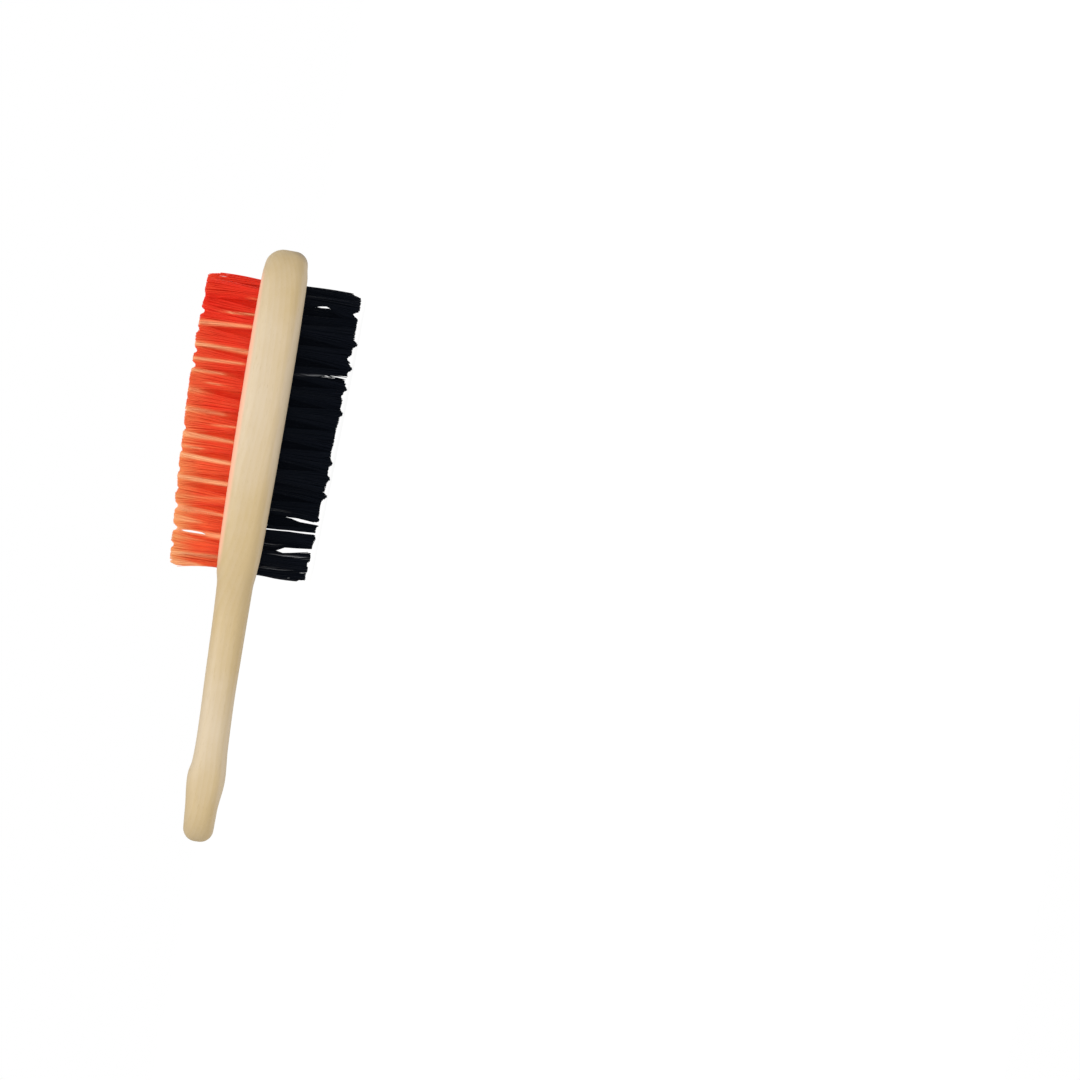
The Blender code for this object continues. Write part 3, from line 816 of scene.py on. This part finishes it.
def tuft_tree(name, tips, wear, partings, streaks):
    """Nodes that grow a row of tufts to these tips, with these marks of use."""
    tree = FormTree(
        name, Side=float, Bristles=int, Flare=float, Seed=int, Material=bpy.types.Material
    )
    given = tree.given
    curves = bristle_lines(tree)

    # Each bristle's path, seen from above.
    along = tree.named("along")
    mouth_x, mouth_y, mouth_z = tree.split(tree.named("mouth", "FLOAT_VECTOR"))
    offset_x, offset_y, out = tree.split(tree.named("offset", "FLOAT_VECTOR"))
    luck, chance, tone = tree.split(tree.named("luck", "FLOAT_VECTOR"))
    jitter_x, jitter_y, bend = tree.split(tree.named("jitter", "FLOAT_VECTOR"))
    lean_x, lean_y, cut = tree.split(tree.named("lean", "FLOAT_VECTOR"))
    drift_x = (jitter_x - 0.5) * (2 * JITTER) + lean_x
    drift_y = (jitter_y - 0.5) * (2 * JITTER) + lean_y
    wide = along**FLARE_POWER * (given["Flare"] - 1) + 1
    far = along * along
    bow = along * (1 - along) * (bend - 0.5) * (8 * BEND)
    x = mouth_x + offset_x * wide + drift_x * far + bow
    y = mouth_y + offset_y * wide + drift_y * far - bow
    seen = seen_at(x, y)
    root_seen = seen_at(mouth_x + offset_x, mouth_y + offset_y)
    tip_x = mouth_x + offset_x * given["Flare"] + drift_x
    tip_seen = seen_at(tip_x, mouth_y + offset_y * given["Flare"] + drift_y)
    for parting in partings:
        x = x + push_aside(tree, seen, root_seen, along, chance, parting)

    # The height of its tip, and so of every point on it.
    share = (tip_x - HEEL) / FACE_LENGTH
    wear_share = (tip_seen - WEAR_START) / WEAR_LENGTH
    worn = tree.add("ShaderNodeFloatCurve", {"points": trim_points(wear)}, {"Value": wear_share})
    top = tips.at_heel + share * (tips.at_toe - tips.at_heel)
    top = top + (share * (1 - share) * (4 * tips.crown)).most(0)
    reach = out / BUNCH_RADIUS
    top = top - worn * WEAR_UNIT - cut - reach * reach * DOME - luck**3 * tips.unevenness
    root = mouth_z * given["Side"] - ROOT_DEPTH
    rise = (root + along * (top - root)) * given["Side"]
    curves = tree.add("GeometryNodeSetPosition", sockets={0: curves, 2: tree.xyz(x, y, rise)})

    # What its material reads, and its round section.
    # Pale streaks: painted highlights on the orange bristles, grey bristles on the black ones.
    pale = tone * 0
    seen = seen_at(x, y)
    for streak in streaks:
        pale = pale.most(streak_at(tree, seen, along, streak))
    curves = tree.store(curves, "pale", pale)
    curves = tree.store(curves, "tone", tone)

    ring = {0: BRISTLE_SIDES, 4: THICKNESS / 2}
    ring = tree.add("GeometryNodeCurvePrimitiveCircle", {"mode": "RADIUS"}, ring)
    sweep = {0: curves, 1: ring, "Scale": 1 - along * TAPER, "Fill Caps": True}
    tree.finish(tree.add("GeometryNodeCurveToMesh", sockets=sweep))
    return tree


def tuft_marks(row, side, cut, end_leans):
    """One point for each tuft of a row, with the tuft's turn, its lean and how much it is cut."""
    places = holes(row, side)
    mesh = points_mesh("tuft_marks", [(x, y, side * face_rise(side, x)) for x, y in places])
    heel_lean, toe_lean = end_leans
    turns, leans = [], []
    for x, _ in places:
        turns.append(random.uniform(0, math.tau))
        lean = heel_lean * smooth_step(x, HEEL + END_ROOM, HEEL + END_TUFTS)
        lean -= toe_lean * smooth_step(x, TOE - END_ROOM, TOE - END_TUFTS)
        leans += [lean + random.uniform(-LEAN, LEAN), random.uniform(-LEAN, LEAN)]
        leans.append(random.uniform(0, cut))
    mesh.attributes.new("turn", "FLOAT", "POINT").data.foreach_set("value", turns)
    mesh.attributes.new("lean", "FLOAT_VECTOR", "POINT").data.foreach_set("vector", leans)
    return mesh


def grow_rows(name, tree, side, cut, end_leans, material):
    """Grows all rows of one face. Each takes the place of its row in the construction."""
    total = 0
    for number, row in enumerate(ROWS, 1):
        random.seed(SEED + 100 * side + row)
        made = tree.grow(
            f"{name}_bristles_row_{number}", tuft_marks(row, side, cut, end_leans),
            Side=float(side), Bristles=BRISTLES, Flare=FLARE, Seed=number * 10 + side,
            Material=material,
        )
        for attribute in ("mouth", "offset", "luck", "jitter", "turn", "lean"):
            made.data.attributes.remove(made.data.attributes[attribute])
        made.data.transform(stand)
        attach(made, "root")
        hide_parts(f"{name}_tuft_row_{number}")
        total += len(made.data.polygons)
    print(name, "bristles:", total, "faces")


print(BRISTLES, "bristles a tuft, in a bunch", round(2 * BUNCH_RADIUS, 4), "m wide")

# %% [markdown]
# ## The orange bristles
#
# These are shiny nylon bristles in a deep orange red. Light passes through them, so they look
# lighter towards their tips and where only a few stand one behind another; this light is painted
# into their colour. Their roots are painted a darker, redder colour, as painted shade where little
# light gets in, and they are deepest red at the toe, where they are worn least. The light of the
# white room comes through them as well, which a surface can't show by itself. So every bristle
# gives off a little light of its own colour, and the inner ones, which stand in the others' shade,
# give off more.

# %% Make the orange bristles
DEEP_RED = (0.720, 0.021, 0.009, 1)
ORANGE_RED = (0.780, 0.100, 0.030, 1)
# Painted shade: the roots, where little light gets in, are mixed towards this darker red.
ROOT_RED = (0.560, 0.030, 0.012, 1)
LIGHT_ORANGE = (0.780, 0.300, 0.105, 1)
PEACH = (0.860, 0.470, 0.240, 1)
PASSED_ON = 0.15  # light from the white room that comes through the bristles
INNER_GAIN = 1.7  # how much more of it the bristles between the outermost ones pass on
# Where the rows beside the middle one, and then the outermost rows, fade in and out along X.
ROW_STARTS = ((-0.0075, -0.0040), (0.0220, 0.0270))
ROW_ENDS = ((0.1055, 0.1020), (0.0960, 0.0910))
ROW_EDGE = 0.0015  # half the width of the change from one row to the next
LEAST_WORN, MOST_WORN = 0.108, -0.020  # places along X
ORANGE_CUT = 0.0005  # how much shorter than its neighbours a tuft may be
ORANGE_END_LEANS = (0.0, 0.0020)  # inwards, at the heel and at the toe


def orange_look():
    tree = LookTree("orange bristle")
    along, tone, pale = (tree.attribute(name) for name in ("along", "tone", "pale"))
    place = tree.add("ShaderNodeTexCoord", output="Object")
    x, y, z = tree.split(place)
    used = tree.ramp(x, LEAST_WORN, MOST_WORN, 0.0, 0.92)
    streak = tree.noise(tree.xyz(x * 520, y * 520, z * 14), 1.0, 2.0)
    band = tree.noise(tree.xyz(x * 210, y * 40, z * 10 + 5), 1.0, 1.0)
    body = (used + 0.12) * ((tone - 0.5) * 0.6 + (streak - 0.5) * 1.6 + (band - 0.5) * 1.8 + 1.0)
    colour = tree.mix(body.most(0).least(1), DEEP_RED, ORANGE_RED)
    # Painted shade: darker red towards the roots.
    colour = tree.mix(tree.ramp(along, 0.45, 0.05, 0.0, 0.4), colour, ROOT_RED)
    # Painted light: lighter towards the tips and in streaks, for light passing through.
    light = tree.ramp(along, 0.5, 1.1) * (used + (band - 0.5) * 0.6)
    light = light + tree.ramp(streak, 0.55, 0.75, 0.0, 0.3) * used + pale * 0.6
    colour = tree.mix(light.most(0).least(1), colour, LIGHT_ORANGE)
    # Painted highlight: the pale streaks turn peach, for light through and off the bundles.
    colour = tree.mix(tree.ramp(pale, 0.3, 1.0, 0.0, 0.85), colour, PEACH)
    inside = -y.of("ABSOLUTE") - ROW_PITCH / 2
    for start, end in zip(ROW_STARTS, ROW_ENDS):
        inside = tree.ramp(x, *start) * tree.ramp(x, *end) * ROW_PITCH + inside
    inner = tree.ramp(inside, -ROW_EDGE, ROW_EDGE, 1.0, INNER_GAIN)
    passed = tree.add("ShaderNodeVectorMath", {"operation": "SCALE"}, {0: colour, "Scale": inner})
    return tree.finish(
        Base_Color=colour,
        Emission_Color=passed,
        Emission_Strength=PASSED_ON,
        Roughness=0.38 + tone * 0.14,
        IOR=1.53,
        Specular_IOR_Level=0.2,
    )


ORANGE_TIPS = Tips(at_heel=0.0291, at_toe=0.0330, crown=0.0016, unevenness=0.0012)
ORANGE_WEAR = Wear(usual=0, marks=(
    (0.1095, 0.0028), (0.1184, 0.0012), (0.1254, 0.0016), (0.1344, 0.0011), (0.1413, 0.0008),
    (0.1491, 0.0007), (0.1573, 0.0008), (0.1663, 0.0009), (0.1786, 0.0004), (0.1922, 0.0014),
    (0.1983, 0.0011), (0.2069, 0.0008), (0.2147, 0.0015), (0.2212, 0.0004), (0.2317, 0.0046),
))
ORANGE_PARTINGS = (
    Parting(0.1246, 0.0003, 0.36, 0.93, 0.0017, 0.05),
)
# Painted highlights: pale streaks of light through and off the orange bundles.
ORANGE_STREAKS = (
    Streak(0.1115, 0.0004, 0.0006, 0.0030, 0.2, 1.4, 0.8),
    Streak(0.1163, -0.0012, 0.0015, 0.0022, -0.3, 1.4, 0.8),
    Streak(0.1219, 0.0, 0.0008, 0.0015, 0.3, 1.4, 0.55),
    Streak(0.1246, 0.0003, 0.0024, 0.0020, -0.3, 1.4, 1.0),
    Streak(0.1289, 0.0006, 0.0006, 0.0034, 0.3, 1.4, 0.7),
    Streak(0.1333, 0.0006, 0.0012, 0.0034, -0.3, 1.4, 0.85),
    Streak(0.1403, -0.0020, 0.0018, 0.0018, -0.3, 1.4, 0.5),
    Streak(0.1461, 0.0003, 0.0020, 0.0020, -0.3, 1.4, 1.0),
    Streak(0.1548, 0.0005, 0.0017, 0.0022, -0.3, 1.4, 1.0),
    Streak(0.1590, 0.0, 0.0006, 0.0014, 0.4, 1.4, 0.7),
    Streak(0.1637, 0.0003, 0.0013, 0.0029, -0.3, 1.4, 0.85),
    Streak(0.1699, -0.0012, 0.0010, 0.0010, -0.3, 0.7, 0.7),
    Streak(0.1742, 0.0, 0.0012, 0.0024, 0.1, 1.4, 0.8),
    Streak(0.1820, 0.0003, 0.0010, 0.0030, 0.5, 1.4, 0.6),
    Streak(0.1860, 0.0, 0.0010, 0.0010, 0.2, 0.9, 0.7),
    Streak(0.1910, -0.0007, 0.0010, 0.0020, 0.2, 1.4, 0.75),
    Streak(0.1962, -0.0012, 0.0012, 0.0018, -0.1, 1.4, 0.75),
    Streak(0.2010, 0.0001, 0.0020, 0.0018, -0.3, 1.4, 0.95),
    Streak(0.2118, -0.0018, 0.0014, 0.0026, -0.3, 1.4, 0.75),
    Streak(0.2168, -0.0018, 0.0011, 0.0008, -0.3, 0.8, 0.8),
    Streak(0.2232, 0.0, 0.0011, 0.0008, -0.3, 0.35, 0.6),
)

orange_tufts = tuft_tree(
    "grow orange tufts", ORANGE_TIPS, ORANGE_WEAR, ORANGE_PARTINGS, ORANGE_STREAKS
)
grow_rows("orange", orange_tufts, ABOVE, ORANGE_CUT, ORANGE_END_LEANS, orange_look())

# %% [markdown]
# ## The black bristles
#
# The bristles under the head are of the same kind, but blue-black and stiffer. They are cut
# slanting, longer towards the toe, and their ends are more ragged. Half of the bristles in a worn
# bundle have turned grey. The brush stands on the few bunches that have stayed long.

# %% Make the black bristles
BLUE_BLACK = (0.0006, 0.0012, 0.0030, 1)
WORN_BLACK = (0.0010, 0.0019, 0.0048, 1)
FAINT_BLUE = (0.0011, 0.0015, 0.0024, 1)  # the little light that the black ones pass on
GREY = (0.220, 0.225, 0.240, 1)
BLACK_CUT = 0.0004
BLACK_END_LEANS = (0.0021, 0.0016)


def black_look():
    tree = LookTree("black bristle")
    along, tone, pale = (tree.attribute(name) for name in ("along", "tone", "pale"))
    worn = (tone * 0.6 + tree.ramp(along, 0.5, 1.0, 0.0, 0.4)).least(1)
    colour = tree.mix(worn, BLUE_BLACK, WORN_BLACK)
    colour = tree.mix(pale * (tone > 0.5), colour, GREY)
    return tree.finish(
        Base_Color=colour,
        Emission_Color=FAINT_BLUE,
        Emission_Strength=1.0,
        Roughness=0.46 + tone * 0.16,
        IOR=1.53,
        Specular_IOR_Level=0.05,
    )


BLACK_TIPS = Tips(at_heel=BLACK_HEEL_TIPS, at_toe=BLACK_TOE_TIPS, crown=0.0, unevenness=0.0010)
BLACK_WEAR = Wear(usual=0.0018, marks=(
    (0.1111, 0.0064), (0.1150, 0.0022), (0.1194, 0.0027), (0.1296, 0.0014), (0.1369, 0.0010),
    (0.1476, 0.0003), (0.1550, 0.0007), (0.1615, 0.0008), (0.1825, 0.0006), (0.1898, 0.0025),
    (0.1923, 0.0006), (0.2013, 0.0003), (0.2054, 0.0033), (0.2116, 0.0001), (0.2237, 0.0039),
    (0.2324, 0.0055),
))
BLACK_PARTINGS = (
    Parting(0.1228, 0.0026, 0.3, 1.3, 0.0023, 0.0),
    Parting(0.1306, 0.0016, -0.2, 1.3, 0.0010, 0.03),
    Parting(0.1366, -0.0009, 0.43, 1.3, 0.0018, 0.0),
    Parting(0.1957, 0.0025, 0.42, 1.3, 0.0003, 0.03),
    Parting(0.2236, 0.0036, 0.2, 0.7, 0.0005, 0.05),
)
BLACK_STREAKS = (
    Streak(0.1152, 0.0, 0.0008, 0.0005, -0.3, 0.9, 1.0),
    Streak(0.1206, 0.0010, 0.0005, 0.0005, 0.2, 1.3, 0.8),
    Streak(0.1247, 0.0, 0.0010, 0.0006, -0.3, 0.5, 0.8),
    Streak(0.1390, 0.0, 0.0006, 0.0005, -0.2, 0.5, 0.9),
    Streak(0.1950, 0.0030, 0.0005, 0.0005, 0.0, 0.9, 0.7),
)

black_tufts = tuft_tree("grow black tufts", BLACK_TIPS, BLACK_WEAR, BLACK_PARTINGS, BLACK_STREAKS)
grow_rows("black", black_tufts, BELOW, BLACK_CUT, BLACK_END_LEANS, black_look())

# %% [markdown]
# ## The floor
#
# The picture is a product photograph on pure white, with hardly a shadow. So the floor is like a
# light table: it gives off some of its light itself. That keeps the lower edge of the board light,
# and the brush's shadow falls on it only softly.

# %% Lay the floor
FLOOR_SIZE = 6.0
FLOOR_GLOW = 0.35  # share of the floor's light that it gives off itself
SEEN_GLOW = 0.85  # the same share, as the camera sees it
FLOOR_STRENGTH = 1.12
FLOOR_PAINT = (0.86, 0.86, 0.86, 1)
WHITE = (1, 1, 1, 1)


def floor_look():
    material = bpy.data.materials.new("white floor")
    material.use_nodes = True
    tree = Tree(material.node_tree)
    tree.data.nodes.clear()
    matt = tree.add("ShaderNodeBsdfDiffuse", sockets={"Color": FLOOR_PAINT})
    glow = tree.add("ShaderNodeEmission", sockets={"Color": WHITE, "Strength": FLOOR_STRENGTH})
    ray = tree.add("ShaderNodeLightPath")
    share = ray["Is Camera Ray"] * (SEEN_GLOW - FLOOR_GLOW) + FLOOR_GLOW
    either = tree.add("ShaderNodeMixShader", sockets=[share, matt, glow])
    tree.add("ShaderNodeOutputMaterial", sockets=[either])
    return material


half = FLOOR_SIZE / 2
corners = [(-half, -half, 0), (half, -half, 0), (half, half, 0), (-half, half, 0)]
floor_mesh = bpy.data.meshes.new("floor")
floor_mesh.from_pydata(corners, [], [(0, 1, 2, 3)])
floor_mesh.materials.append(floor_look())
new_object("floor", floor_mesh)
print("floor", FLOOR_SIZE, "m wide")

# %% [markdown]
# ## The light
#
# A large soft lamp stands high before the orange side, and a weaker one low in front fills in the
# board's edge. A lamp from one side alone would leave the lower half of the board dark. The room is
# white to the camera and in reflections, but it lights the brush with less than half of that, so
# that its shape keeps some shading.

# %% Light the brush
ROOM_SEEN = 1.0  # strength of the room to the camera and in reflections
ROOM_LIGHT = 0.45  # and as it lights the brush


def add_lamp(name, place, size, power):
    lamp = bpy.data.objects.new(name, bpy.data.lights.new(name, "AREA"))
    bpy.context.collection.objects.link(lamp)
    lamp.data.size = size
    lamp.data.energy = power
    lamp.location = place
    lamp.rotation_euler = (middle - Vector(place)).to_track_quat("-Z", "Y").to_euler()


add_lamp("key", place=(0.05, -0.60, 0.80), size=0.5, power=5.9)
add_lamp("fill", place=(-0.10, -0.90, 0.05), size=0.8, power=3.4)

world = bpy.data.worlds.new("studio")
bpy.context.scene.world = world
world.use_nodes = True
room = Tree(world.node_tree)
room.data.nodes.clear()
ray = room.add("ShaderNodeLightPath")
seen = ray["Is Camera Ray"].most(ray["Is Glossy Ray"]).most(ray["Is Transmission Ray"])
white = room.add("ShaderNodeBackground", sockets={"Color": WHITE, "Strength": ROOM_SEEN})
plain = room.add("ShaderNodeBackground", sockets={"Color": WHITE, "Strength": ROOM_LIGHT})
either = room.add("ShaderNodeMixShader", sockets=[seen, plain, white])
room.add("ShaderNodeOutputWorld", sockets=[either])
bpy.context.scene.view_settings.view_transform = "Standard"
